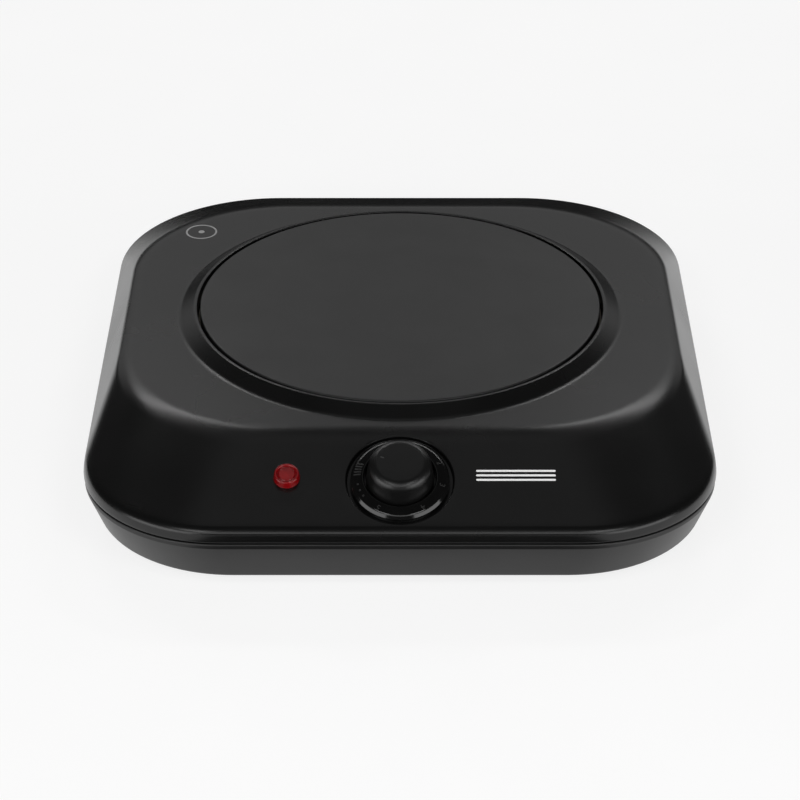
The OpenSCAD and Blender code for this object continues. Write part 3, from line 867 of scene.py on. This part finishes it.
@dataclass
class Feet:
    """Four round rubber feet with a stepped side and a ribbed sole."""

    height: float = 7.0
    names: tuple[str, ...] = ("foot_front_left", "foot_front_right", "foot_rear_left", "foot_rear_right")

    def profile(self) -> np.ndarray:
        """Profile of one foot, from the screw hole across the sole and up the side."""
        top = self.height
        sole = [(4.4, 3.2, 0.2), (4.4, 0, 0.3), (5.6, 0, 0.1), (5.6, 0.5, 0.1), (6.4, 0.5, 0.1),
                (6.4, 0, 0.1), (7.2, 0, 0.1), (7.2, 0.5, 0.1), (7.8, 0.5, 0.1), (7.8, 0, 0.1)]
        side = [(8.8, 0, 0.5), (9.5, 3.0, 0.3), (9.2, 3.3, 0.1), (9.3, 3.9, 0.1), (9.7, 4.1, 0.2),
                (10, top, 0.2)]
        return rounded(sole + side + [(2.1, top, 0.1), (2.1, 3.2, 0.1)], 3)

    def build(self) -> list[bpy.types.Object]:
        """Build the feet under the tray's corners.

        Returns:
            The four pieces.
        """
        shape = lathe(self.profile(), 64)
        made = []
        for name in self.names:
            low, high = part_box(name)
            centre = (low + high) / 2 / MM
            foot = make(name.replace("foot", "rubber_foot"), shape.at(centre.x, centre.y), FOOT_RUBBER)
            made.append(settle(foot, "housing", "foot_rubber", name))
        return made


@dataclass
class CordOutlet:
    """Rubber bush in the rear wall, with rings round its mouth."""

    wall: float = 157.4
    height: float = 17.2
    bore: float = 3.7

    def build(self) -> bpy.types.Object:
        """Build the bush.

        Returns:
            The finished piece.
        """
        profile = rounded([
            (self.bore, 2.2, 0.5), (5.2, 2.4, 0.3), (5.5, 1.9, 0.15), (5.9, 1.9, 0.15), (6.2, 2.4, 0.3),
            (8, 2.1, 0.9), (8, 0, 0.3), (6.1, 0, 0.1), (6.1, -6.4, 0.1), (7.4, -6.4, 0.4), (6.9, -10.4, 0.5),
            (self.bore, -10.4, 0.4)], 5)
        rearward = Plane((0, self.wall, self.height), (0, 0, -1), (0, 1, 0))
        piece = make("cord_outlet_bush", rearward.lay(lathe(profile, 72)), GLAND_RUBBER)
        return settle(piece, "housing", "gland_rubber", "cord_gland")


# ---------- Cooking plate ----------


@dataclass
class CookingPlate:
    """Cast-iron plate with a flat turned top and three coil grooves underneath."""

    top: float = 57.0
    radius: float = 92.5
    disc: float = 6.0
    body_radius: float = 85.0
    body_bottom: float = 42.0
    grooves: tuple[float, ...] = (73.0, 55.0, 37.0)
    groove_half: float = 4.0
    groove_top: float = 49.6
    stud: float = 4.02

    def profile(self) -> np.ndarray:
        """Profile from the middle of the top, over the edge and along the grooved underside."""
        under = self.top - self.disc
        line = [(0, self.top, 0), (60, self.top, 0), (91, self.top, 0), (self.radius, self.top, 0.8),
                (self.radius, under, 0.6), (self.body_radius, under, 0.8),
                (self.body_radius, self.body_bottom, 1)]
        for r in self.grooves:
            low, high = self.body_bottom, self.groove_top
            out, inner = r + self.groove_half, r - self.groove_half
            line += [(out, low, 0.3), (out, high, 0.6), (inner, high, 0.6), (inner, low, 0.3)]
        line += [(self.stud, self.body_bottom, 0.3), (self.stud, under, 0.3), (0, under, 0)]
        return rounded(line, 6, closed=False)

    def build(self) -> bpy.types.Object:
        """Build the plate.

        Returns:
            The finished piece.
        """
        piece = make("cooking_plate", lathe(self.profile(), 192, closed=False), COATED_IRON)
        return settle(piece, "housing", "plate_iron", "hot_plate")


# ---------- Dial, knob and lamp ----------


@dataclass
class Dial:
    """Glossy ring round the knob, with a raised scale of bars, dots and numbers."""

    panel: Plane
    inner: float = 15.3
    outer: float = 21.0
    rim_height: float = 1.55
    bevel: float = 1.4
    crest: float = 2.5
    seat: float = -2.0
    scale_radius: float = 18.2
    relief: float = 0.14
    pegs: tuple[float, float] = (18.3, 1.4)
    figure_size: float = 3.6
    bars: tuple[float, ...] = (158, 162.5, 167, 171.5, 176)
    dots: tuple[float, ...] = (192, 202, 212)
    numbers: tuple[tuple[str, float], ...] = (("1", 80), ("2", 24), ("3", 347), ("4", 302), ("5", 240))

    def profile(self) -> np.ndarray:
        """Section of the ring: a bevel up from the outer rim, then a gentle cone to a crest."""
        return rounded([
            (self.inner, self.seat, 0.2), (self.outer, self.seat, 0.3), (self.outer, 0.15, 0.25),
            (self.outer - self.bevel, self.rim_height, 2.2), (self.inner + 0.5, self.crest, 0.5),
            (self.inner, self.crest - 0.3, 0.3)], 8)

    def on_cone(self, shape: Shape, angle: float) -> Shape:
        """Lay a flat shape on the cone, its own y pointing outwards from the knob.

        Args:
            shape: the shape, drawn flat about the origin.
            angle: where it goes, in degrees round the panel's normal.

        Returns:
            The shape in the panel's frame.
        """
        fall = math.atan2(self.crest - self.rim_height, self.outer - self.inner - self.bevel - 0.5)
        a = math.radians(angle)
        rise = (self.outer - self.bevel - self.scale_radius) * math.tan(fall) + self.rim_height
        across = (math.sin(a), -math.cos(a), 0)
        out = (math.cos(a) * math.cos(fall), math.sin(a) * math.cos(fall), -math.sin(fall))
        spot = (self.scale_radius * math.cos(a), self.scale_radius * math.sin(a), rise)
        return shape.moved(np.array([across, out, np.cross(across, out)]).T, spot)

    def figure(self, text: str) -> Shape:
        """A number as a thin flat solid about the origin.

        Args:
            text: the number.

        Returns:
            The solid, 2.6 mm tall.
        """
        drawn = bpy.data.curves.new("figure", "FONT")
        drawn.body, drawn.size, drawn.extrude = text, self.figure_size, self.relief
        drawn.align_x, drawn.align_y, drawn.resolution_u = "CENTER", "CENTER", 3
        holder = bpy.data.objects.new("figure", drawn)
        bpy.context.scene.collection.objects.link(holder)
        bpy.context.view_layer.update()
        mesh = bpy.data.meshes.new_from_object(holder.evaluated_get(bpy.context.evaluated_depsgraph_get()))
        points = np.zeros(len(mesh.vertices) * 3)
        mesh.vertices.foreach_get("co", points)
        faces = [list(face.vertices) for face in mesh.polygons]
        bpy.data.objects.remove(holder)
        return Shape(points.reshape(-1, 3), faces)

    def scale(self) -> Shape:
        """All the raised marks, in the panel's frame."""
        bar = prism(pill(3.2, 0.62)[:, ::-1], -self.relief, self.relief)
        dot = disc(0.5, -self.relief, self.relief, 20)
        marks = [self.on_cone(bar, a) for a in self.bars] + [self.on_cone(dot, a) for a in self.dots]
        marks += [self.on_cone(self.figure(text), a) for text, a in self.numbers]
        return together(marks)

    def build(self) -> list[bpy.types.Object]:
        """Build the ring and its scale.

        Returns:
            The two pieces.
        """
        ring = make("dial_ring", self.panel.lay(lathe(self.profile(), 160)), RING_PLASTIC)
        pegs = [disc(self.pegs[1], -5, -1.5, 24).at(0, s * self.pegs[0]) for s in (-1, 1)]
        carve(ring, self.panel.lay(together(pegs)), "UNION")
        scale = make("dial_scale", self.panel.lay(self.scale()), DIAL_MARKS)
        return [settle(ring, "housing", "bezel_plastic", "dial_bezel"),
                settle(scale, "housing", "bezel_plastic")]


@dataclass
class Knob:
    """Round satin knob with a full rounded edge, a hollow underside and a short pointer."""

    panel: Plane
    radius: float = 14.4
    height: float = 12.5
    taper: float = 1.35
    edge: float = 4.2
    pointer_angle: float = 160.0
    pointer_radius: float = 8.0
    pointer: tuple[float, float] = (1.8, 0.7)
    hollow_top: float = 10.2
    bore_radius: float = 3.03
    bore_flat: float = 2.6

    def profile(self) -> np.ndarray:
        """Profile from the hub's end, through the hollow, round the skirt and over the face."""
        r, top, neck = self.radius, self.height, self.radius - self.taper
        return rounded([
            (0, -0.8, 0), (4.6, -0.8, 0.4), (5.2, self.hollow_top, 0.6), (11.4, self.hollow_top, 0.8),
            (12.2, -1, 0.4), (r, -1, 0.35), (r, 1.2, 0.5), (neck, top, self.edge), (4.6, top, 0),
            (0, top, 0)], 10, closed=False)

    def bore(self) -> Shape:
        """Cutter for the shaft's bore, round with one flat side."""
        flat = math.asin(self.bore_flat / self.bore_radius)
        turn = np.linspace(math.pi - flat, TAU + flat, 40)
        return prism(self.bore_radius * np.c_[np.cos(turn), np.sin(turn)], -2, self.hollow_top)

    def build(self) -> list[bpy.types.Object]:
        """Build the knob and the pointer let into its face.

        Returns:
            The two pieces.
        """
        a = math.radians(self.pointer_angle)
        turn = np.array([[math.cos(a), -math.sin(a), 0], [math.sin(a), math.cos(a), 0], [0, 0, 1]])
        length, width = self.pointer
        place = (self.pointer_radius * math.cos(a), self.pointer_radius * math.sin(a), self.height)
        knob = make("control_knob", self.panel.lay(lathe(self.profile(), 160, closed=False)), KNOB_PLASTIC)
        groove = prism(pill(length + 0.16, width + 0.16), -0.35, 1).moved(turn, place)
        carve(knob, self.panel.lay(together([groove, self.bore()])))
        mark = prism(pill(length, width), -0.4, -0.12).moved(turn, place)
        pointer = make("knob_pointer", self.panel.lay(mark), POINTER_INK)
        return [settle(knob, "dial", "knob_plastic", "knob"), settle(pointer, "dial", "knob_plastic")]


@dataclass
class Lamp:
    """Red indicator lamp: a lens with a rolled rim, a channel and a raised core, and a diffuser inside it."""

    panel: Plane
    x: float = -48.0
    y: float = 1.0
    radius: float = 5.65
    barrel: float = 4.4

    def build(self) -> list[bpy.types.Object]:
        """Build the lens and its diffuser.

        Returns:
            The two pieces.
        """
        r = self.radius
        lens = rounded([
            (0, 3.0, 0), (3.4, 2.95, 0.5), (3.9, 2.2, 0.3), (4.3, 3.35, 0.4), (r - 0.45, 3.38, 0.55),
            (r - 0.15, 1.0, 0.5), (r, 0.5, 0.3), (r, 0, 0.1), (self.barrel, 0, 0),
            (self.barrel, -10, 0.2), (3.4, -10, 0.2), (3.4, 0.7, 0.4), (0, 0.9, 0)], 6, closed=False)
        core = rounded([(0, 0.62, 0), (2.6, 0.6, 0.3), (3.1, 0.1, 0.2), (3.1, -1.4, 0.1), (0, -1.4, 0)], 5,
                       closed=False)
        lay = self.panel.lay
        cover = make("lamp_lens_red", lay(lathe(lens, 96, closed=False), self.x, self.y), RED_LENS)
        # The diffuser's faint glow is painted light.
        diffuser = make("lamp_diffuser", lay(lathe(core, 64, closed=False), self.x, self.y), RED_CORE)
        return [settle(cover, "housing", "lens_red", "lamp_lens"), settle(diffuser, "housing", "lens_red")]


@dataclass
class Marks:
    """Plain printed marks: three fine lines beside the knob, and a ring with a dot on the flat top."""

    panel: Plane
    land: Plane
    thickness: float = 0.035
    lines_at: tuple[float, float] = (49.2, 2.3)
    line_length: float = 33.8
    line_width: float = 1.0
    line_gap: float = 2.35
    ring_at: tuple[float, float] = (-97.0, 80.0)
    ring_radius: float = 7.6
    ring_width: float = 0.85
    dot_radius: float = 1.5

    def build(self) -> list[bpy.types.Object]:
        """Build both marks as thin raised ink.

        Returns:
            The two pieces.
        """
        line = prism(pill(self.line_length, self.line_width), -self.thickness, self.thickness)
        lines = together([line.at(0, k * self.line_gap) for k in (-1, 0, 1)])
        # The front lines carry a painted glow on top of their pale print colour.
        front = make("front_lines", self.panel.lay(lines, *self.lines_at), PALE_PRINT_PAINTED_GLOW)
        outer, inner, t = self.ring_radius, self.ring_radius - self.ring_width, self.thickness
        band = lathe(np.array([(inner, -t), (outer, -t), (outer, t), (inner, t)]), 72)
        sign = together([band, disc(self.dot_radius, -t, t, 32)])
        top = make("top_ring", self.land.lay(sign, *self.ring_at), SOFT_PRINT)
        return [settle(piece, "housing", "housing_paint") for piece in (front, top)]


# ---------- Inner parts ----------


@dataclass
class Innards:
    """Finishes of the parts that keep their CAD shape."""

    finishes: dict[Finish, tuple[str, ...]] = field(default_factory=lambda: {
        Finish("zinc_plated_steel", (0.56, 0.57, 0.59), (0.46, 0.47, 0.50), 0.34, 2, 0.08, 1, grain_size=0.3,
               grain_height=0.004): ("housing_screws", "heat_shield_screws", "thermostat_screws",
                                     "earth_screw", "mains_terminal_screws", "centre_stud", "stud_nut",
                                     "stud_washer", "stack_rivet", "knob_clip", "lamp_clip"),
        Finish("bridge_strip_steel", (0.47, 0.48, 0.50), (0.38, 0.39, 0.41), 0.40, 12, 0.07, 1,
               grain=Grain.BRUSHED, grain_size=0.3,
               grain_height=0.006): ("bridge_strap", "thermostat_bracket", "sensor_arm"),
        Finish("aluminised_shield", (0.66, 0.67, 0.68), (0.54, 0.55, 0.57), 0.30, 25, 0.06, 1,
               grain=Grain.BRUSHED, grain_size=0.4, grain_height=0.006): ("heat_shield", "plate_cover"),
        Finish("fibre_gasket", (0.46, 0.43, 0.37), (0.36, 0.33, 0.28), 0.9, 3, 0.05, grain_size=0.25,
               grain_height=0.06): ("plate_gasket",),
        Finish("steel_sheathed_coil", (0.30, 0.27, 0.24), (0.20, 0.18, 0.17), 0.48, 4, 0.06, 1,
               grain=Grain.WOUND, grain_size=1.2,
               grain_height=0.05): ("outer_coil", "middle_coil", "inner_coil"),
        Finish("setting_cement", (0.58, 0.55, 0.49), (0.47, 0.44, 0.39), 0.92, 6, 0.04, grain=Grain.CAST,
               grain_size=0.7, grain_height=0.07): ("coil_cement",),
        Finish("glazed_steatite", (0.78, 0.75, 0.68), (0.70, 0.66, 0.58), 0.32, 5, 0.06, grain=Grain.CAST,
               grain_size=0.8, grain_height=0.02): ("coil_terminal_block", "insulator_stack", "pusher_pin",
                                                    "adjuster_spindle"),
        Finish("nickel_terminals", (0.62, 0.59, 0.53), (0.52, 0.49, 0.44), 0.28, 1.5, 0.06, 1, grain_size=0.2,
               grain_height=0.004): ("coil_terminal_pins",),
        Finish("turned_brass", (0.60, 0.43, 0.16), (0.50, 0.34, 0.12), 0.27, 2, 0.06, 1, grain_size=0.25,
               grain_height=0.006): ("thermostat_shaft", "shaft_bush"),
        Finish("spring_bronze_strip", (0.62, 0.37, 0.20), (0.52, 0.30, 0.15), 0.30, 2, 0.06, 1,
               grain=Grain.BRUSHED, grain_size=0.15, grain_height=0.004): ("adjuster_tab", "adjuster_leaf",
                                                                          "contact_tab", "contact_leaf"),
        Finish("silver_contact", (0.86, 0.85, 0.82), (0.72, 0.71, 0.68), 0.22, 0.8, 0.06, 1, grain_size=0.15,
               grain_height=0.004): ("upper_contact", "lower_contact"),
        Finish("bimetal_strip_metal", (0.60, 0.55, 0.42), (0.48, 0.40, 0.36), 0.33, 1.5, 0.06, 1,
               grain=Grain.BRUSHED, grain_size=0.15, grain_height=0.004): ("bimetal_strip",),
        Finish("white_nylon", (0.72, 0.70, 0.65), (0.66, 0.64, 0.58), 0.42, 4, 0.05, grain_size=0.3,
               grain_height=0.008): ("lamp_body", "mains_terminal_block"),
        Finish("neon_glass", (0.95, 0.62, 0.45), (0.88, 0.48, 0.32), 0.07, 1.5, 0.02, grain_size=1.5,
               grain_height=0.01, transmission=0.8, ior=1.47): ("neon_bulb",),
        Finish("brown_sleeve", (0.17, 0.065, 0.028), (0.13, 0.05, 0.022), 0.42, 3, 0.05, grain_size=0.4,
               grain_height=0.01): ("live_wire", "lamp_live_wire"),
        Finish("blue_sleeve", (0.035, 0.10, 0.32), (0.028, 0.08, 0.26), 0.42, 3, 0.05, grain_size=0.4,
               grain_height=0.01): ("neutral_wire", "lamp_neutral_wire"),
        Finish("glass_fibre_sleeve", (0.62, 0.60, 0.54), (0.50, 0.48, 0.42), 0.8, 2, 0.05,
               grain=Grain.BRAIDED, grain_size=0.9, grain_height=0.12): ("heater_wire",),
        Finish("green_yellow_sleeve", (0.20, 0.42, 0.05), (0.62, 0.55, 0.05), 0.42, 2.2, 0.05, grain_size=0.4,
               grain_height=0.01): ("earth_wire",),
    })

    def dress(self) -> None:
        """Give every kept CAD part its finish."""
        for finish, names in self.finishes.items():
            for name in names:
                for holder in frame["nodes"][name].material_slots:
                    holder.material = finish.material()
            log.info("%s: %s", finish.name, ", ".join(names))


# ---------- Studio ----------


@dataclass(frozen=True)
class Softbox:
    """A flat studio light that faces the object from a given direction."""

    name: str
    azimuth: float
    elevation: float
    distance: float
    width: float
    height: float
    luminance: float

    def place(self, target: Vector) -> None:
        """Hang the light.

        Its power is pi times its luminance times its area. Azimuth 0 is behind the object and 90 to its
        right.

        Args:
            target: the point that it faces.
        """
        az, el = math.radians(self.azimuth), math.radians(self.elevation)
        away = Vector((math.sin(az) * math.cos(el), math.cos(az) * math.cos(el), math.sin(el)))
        lamp = bpy.data.lights.new(self.name, "AREA")
        lamp.shape, lamp.size, lamp.size_y = "RECTANGLE", self.width, self.height
        lamp.energy = math.pi * self.luminance * self.width * self.height
        holder = bpy.data.objects.new(self.name, lamp)
        holder.location = target + away * self.distance
        holder.rotation_euler = away.to_track_quat("Z", "Y").to_euler()
        holder.visible_camera = False
        bpy.context.scene.collection.objects.link(holder)


@dataclass(frozen=True)
class ShadeCard:
    """A matt black sheet seen in reflections only: painted shade, which darkens the casing's reflections of
    the floor.
    """

    name: str
    half_width: float
    near: tuple[float, float]
    far: tuple[float, float]

    def place(self) -> None:
        """Stand the card in the studio, from its near edge to its far edge, each given by its y and z."""
        black = Finish("painted_shade_card", grey(0.02), grey(0.025), 0.9, 60, 0.02, grain_size=2, specular=0.0)
        h = self.half_width
        corners = np.array([(-h, *self.near), (h, *self.near), (h, *self.far), (-h, *self.far)])
        card = make(self.name, Shape(corners / MM, [[0, 1, 2, 3]]), black)
        card.visible_camera = card.visible_diffuse = card.visible_shadow = card.visible_transmission = False


@dataclass
class Studio:
    """Pale floor, soft light all round and the camera."""

    aim_height: float = 4.1
    camera_distance: float = 1.3108
    camera_pitch: float = 30.05
    lens: float = 124.8
    floor_size: float = 30.0
    white: float = 1.0
    softboxes: tuple[Softbox, ...] = (
        Softbox("left_front_softbox", -132, 12, 1.5, 1.4, 0.62, 2.8),
        Softbox("right_front_softbox", 132, 12, 1.5, 1.4, 0.62, 2.8),
        Softbox("left_front_strip", -152, 42, 1.6, 0.5, 0.3, 4.5),
        Softbox("right_front_strip", 152, 42, 1.6, 0.5, 0.3, 4.5),
        Softbox("rear_backdrop", 0, 25, 1.6, 2.6, 0.76, 0.44),
        Softbox("rear_left_strip", -24, 43, 1.6, 0.6, 0.14, 7.5),
        Softbox("rear_right_strip", 24, 43, 1.6, 0.6, 0.14, 7.5),
        Softbox("overhead_panel", 0, 77, 1.6, 0.9, 0.7, 0.24),
        Softbox("front_panel", 180, 30, 1.9, 1.5, 0.5, 1.9),
    )
    # Painted shade: black sheets that only reflections see, darkening what the casing reflects of the floor
    # behind it and in front of its lip.
    cards: tuple[ShadeCard, ...] = (
        ShadeCard("rear_floor_card", 0.17, (0.19, 0.001), (0.6, 0.001)),
        ShadeCard("rear_upright_card", 0.35, (0.6, 0.001), (0.6, 0.13)),
        ShadeCard("front_floor_card", 0.105, (-0.60, 0.001), (-0.178, 0.001)),
    )
    surround: float = 0.03
    lit_height: float = 0.03

    def floor(self) -> None:
        """Lay the floor under the feet."""
        half = self.floor_size / 2 / MM
        edge = np.array([(-half, -half), (half, -half), (half, half), (-half, half)])
        points = np.c_[edge, np.zeros(4)]
        paper = Finish("pale_floor", grey(0.30), grey(0.29), 0.95, 60, 0.02, grain_size=2, grain_height=0.01,
                       specular=0.0, glow=0.80)
        make("floor", Shape(points, [[0, 1, 2, 3]]), paper)

    def world(self) -> None:
        """Leave the room dark round the softboxes, and white where the camera sees past the floor."""
        world = bpy.data.worlds.new("studio")
        bpy.context.scene.world = world
        world.use_nodes = True
        tree = world.node_tree
        tree.nodes.clear()
        dim, shown, rays, mix, out = (tree.nodes.new(kind) for kind in (
            "ShaderNodeBackground", "ShaderNodeBackground", "ShaderNodeLightPath", "ShaderNodeMixShader",
            "ShaderNodeOutputWorld"))
        dim.inputs["Color"].default_value = (1, 1, 1, 1)
        dim.inputs["Strength"].default_value = self.surround
        shown.inputs["Color"].default_value = (1, 1, 1, 1)
        shown.inputs["Strength"].default_value = self.white
        tree.links.new(rays.outputs["Is Camera Ray"], mix.inputs["Fac"])
        tree.links.new(dim.outputs[0], mix.inputs[1])
        tree.links.new(shown.outputs[0], mix.inputs[2])
        tree.links.new(mix.outputs[0], out.inputs["Surface"])

    def camera(self) -> None:
        """Set the camera in front of the object, looking down at a point on its upright axis."""
        pitch = math.radians(self.camera_pitch)
        data = bpy.data.cameras.new("camera")
        data.lens, data.sensor_width = self.lens, 36
        holder = bpy.data.objects.new("camera", data)
        rise = self.aim_height * MM + self.camera_distance * math.sin(pitch)
        holder.location = (0, -self.camera_distance * math.cos(pitch), rise)
        holder.rotation_euler = (math.pi / 2 - pitch, 0, 0)
        bpy.context.scene.collection.objects.link(holder)
        bpy.context.scene.camera = holder

    def build(self) -> None:
        """Set up the whole studio."""
        bpy.context.scene.view_settings.view_transform = "Standard"
        self.camera()
        self.floor()
        self.world()
        for softbox in self.softboxes:
            softbox.place(Vector((0, 0, self.lit_height)))
        for card in self.cards:
            card.place()
        log.info("studio: %d softboxes", len(self.softboxes))


def main() -> None:
    """Build the studio and every sub-assembly in order."""
    logging.basicConfig(level=logging.INFO, format="%(name)s: %(message)s")
    outline, panel = Outline(), Plane.of_panel()
    Studio().build()
    Casing(outline, panel).build()
    Tray(outline).build()
    Feet().build()
    CordOutlet().build()
    CookingPlate().build()
    Dial(panel).build()
    Knob(panel).build()
    Lamp(panel).build()
    Marks(panel, Plane.of_land(outline.land_height)).build()
    Innards().dress()


if __name__ == "__main__":
    main()
